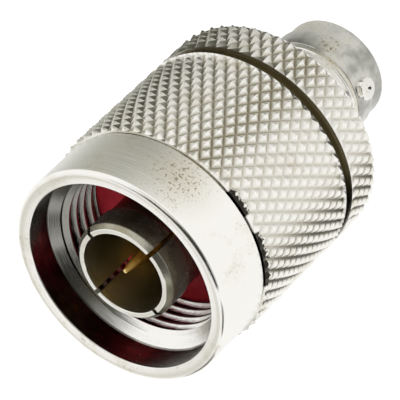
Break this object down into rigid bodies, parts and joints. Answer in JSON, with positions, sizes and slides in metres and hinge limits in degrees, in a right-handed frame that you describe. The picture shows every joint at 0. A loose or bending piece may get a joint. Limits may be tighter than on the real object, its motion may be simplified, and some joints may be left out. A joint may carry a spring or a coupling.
{
  "type": "n plug to bayonet jack coaxial adapter",
  "caption": "Straight coaxial adapter: knurled spinning N coupling nut over a slotted contact and gold pin, with a bayonet jack behind.",
  "frame": {"origin": "on the common axis, in the plane of the bayonet jack's mating face that the adapter stands on", "axes": "+Z along the common axis and out of the N mouth"},
  "size_m": [0.0208, 0.0208, 0.033],
  "materials": {
    "nut_nickel": "bright nickel plate over turned and knurled brass",
    "body_nickel": "bright nickel plate over turned brass",
    "contact_nickel": "nickel plate over slotted spring brass",
    "spring_metal": "plain spring bronze",
    "gold_plate": "gold plate, polished",
    "silicone": "smooth red silicone",
    "ptfe": "waxy white PTFE"
  },
  "bodies": {
    "adapter_body": {"body": "body_nickel", "bayonet_studs": "body_nickel", "outer_contact": "contact_nickel", "front_insulator": "ptfe", "centre_contact": "gold_plate", "rear_insulator": "ptfe", "gasket": "silicone", "retaining_ring": "spring_metal"},
    "nut": {"coupling_nut": "nut_nickel"}
  },
  "joints": [
    {"name": "nut_spin", "type": "hinge", "parent": "adapter_body", "child": "nut", "pos_m": [0, 0, 0.0217], "axis": [0, 0, 1], "continuous": true}
  ]
}
